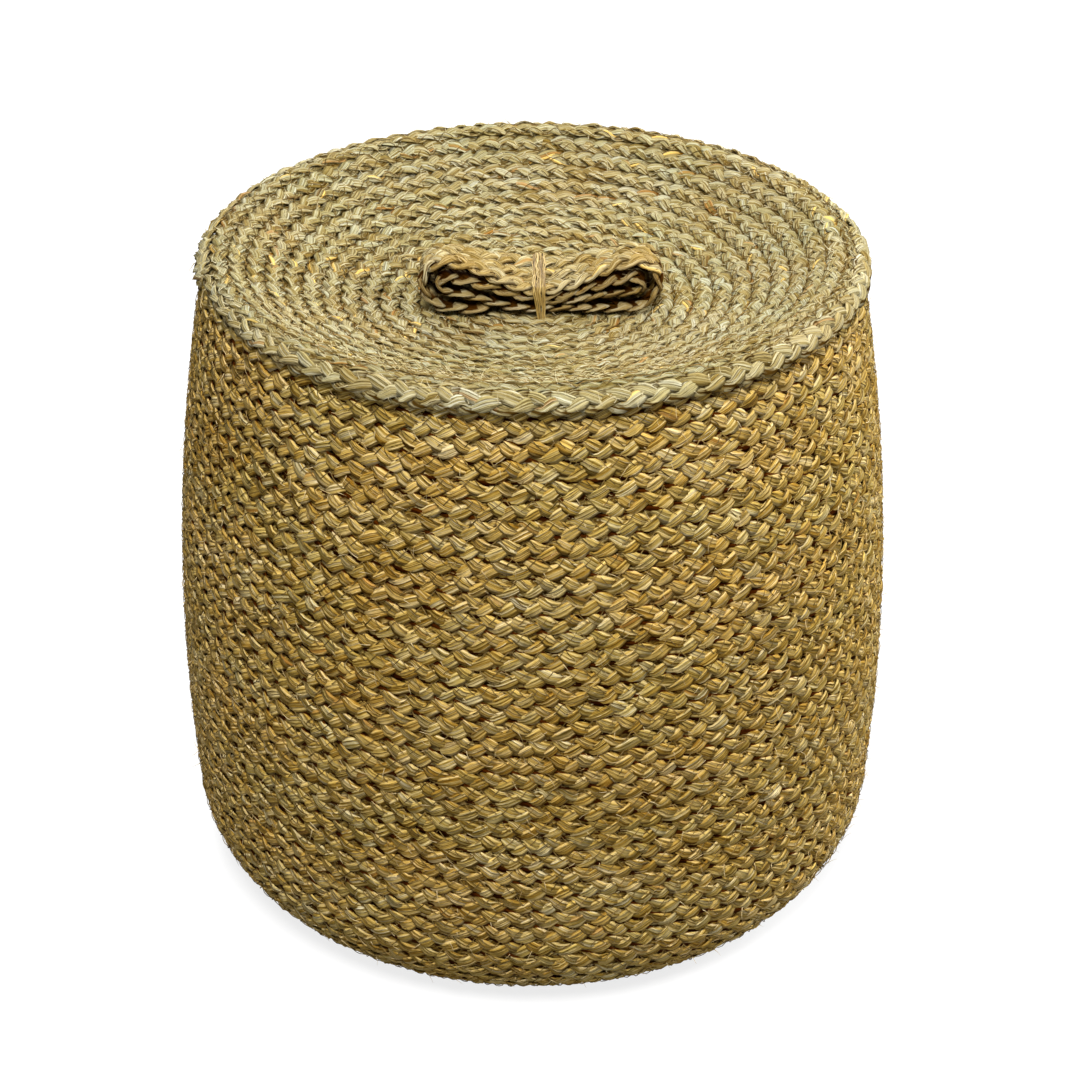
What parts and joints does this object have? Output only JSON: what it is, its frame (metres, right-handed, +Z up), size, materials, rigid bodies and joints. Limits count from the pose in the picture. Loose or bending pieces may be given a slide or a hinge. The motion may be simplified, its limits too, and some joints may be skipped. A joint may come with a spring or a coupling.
{
  "type": "lidded woven basket",
  "caption": "Round barrel-shaped storage basket of sewn grass braid, with a loose dished lid whose bow handle is tied on with raffia.",
  "frame": {"origin": "on the floor, at the middle of the underside, on the basket's axis", "axes": "+Z up along the basket's axis, X along the bow handle, -Y towards the viewer of the picture"},
  "size_m": [0.4, 0.4, 0.3753],
  "materials": {
    "wall_grass": "dry plaited grass leaf, golden tan, fibrous",
    "lid_grass": "dry plaited grass leaf, pale straw, fibrous",
    "raffia": "flat dry raffia fibre, golden"
  },
  "bodies": {
    "basket": {"base_braid": "wall_grass", "wall_braid_1": "wall_grass", "wall_braid_2": "wall_grass", "wall_braid_3": "wall_grass", "wall_braid_4": "wall_grass", "wall_braid_5": "wall_grass", "wall_braid_6": "wall_grass", "wall_braid_7": "wall_grass", "wall_braid_8": "wall_grass", "wall_braid_9": "wall_grass"},
    "lid": {"lid_braid_1": "lid_grass", "lid_braid_2": "lid_grass", "lid_edge_braid": "lid_grass", "handle_braid_front": "lid_grass", "handle_braid_middle": "lid_grass", "handle_braid_back": "lid_grass", "handle_tie": "raffia", "tie_knot": "raffia"}
  },
  "joints": [
    {"name": "lid_lift", "type": "slide", "parent": "basket", "child": "lid", "axis": [0, 0, 1], "range_m": [0, 0.25]}
  ]
}
